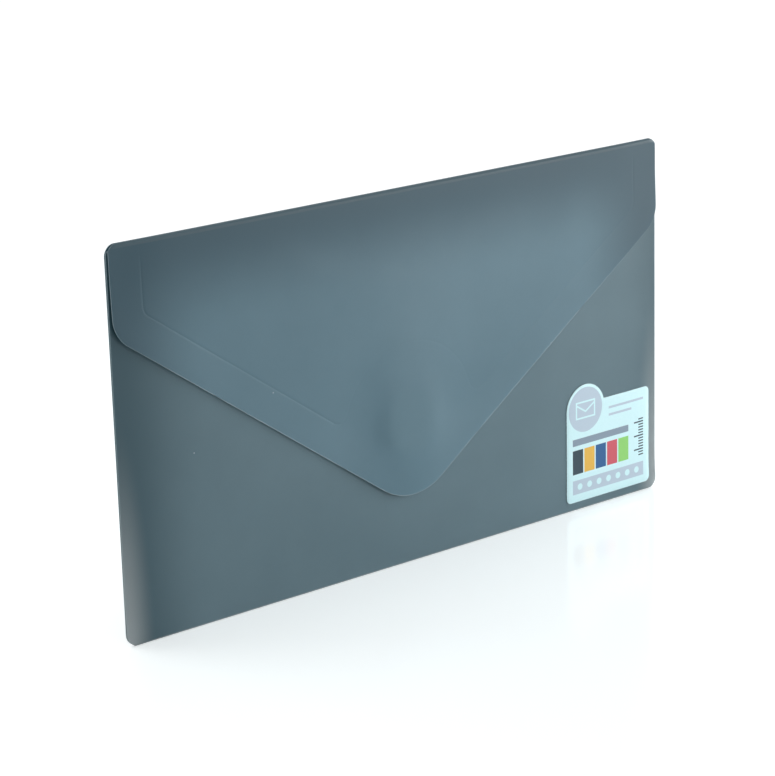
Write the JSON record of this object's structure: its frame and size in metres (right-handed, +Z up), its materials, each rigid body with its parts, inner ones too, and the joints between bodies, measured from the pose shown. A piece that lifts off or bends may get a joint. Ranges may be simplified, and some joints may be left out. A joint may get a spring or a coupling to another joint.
{
  "type": "plastic document envelope",
  "caption": "Slim translucent plastic envelope for folded letters, with a pointed flap on a crease, a round hook-and-loop closure under its tip and a small label.",
  "frame": {"origin": "centre of the bottom of the standing envelope's box", "axes": "+X to the right along the bottom fold, +Y from the flap towards the back, +Z up towards the crease"},
  "size_m": [0.225, 0.0038, 0.125],
  "materials": {
    "sheet": "smoke grey translucent polypropylene with a satin surface",
    "weld": "heat-welded polypropylene seam",
    "loop_pile": "brushed nylon loop pile",
    "hook_tape": "nylon tape with standing hooks",
    "adhesive": "clear film of pressure-sensitive adhesive",
    "label_paper": "coated white paper with plain printed colour blocks"
  },
  "bodies": {
    "pocket": {"back_panel": "sheet", "front_panel": "sheet", "bottom_fold": "sheet", "left_weld": "weld", "right_weld": "weld", "flap_crease": "sheet", "loop_adhesive": "adhesive", "loop_coin": "loop_pile", "label_adhesive": "adhesive", "label": "label_paper"},
    "flap": {"flap": "sheet", "hook_adhesive": "adhesive", "hook_coin": "hook_tape"}
  },
  "joints": [
    {"name": "flap_hinge", "type": "hinge", "parent": "pocket", "child": "flap", "pos_m": [0, 0.00085, 0.12536], "axis": [-1, 0, 0], "range_deg": [0, 180], "deforming": ["flap_crease"]}
  ]
}
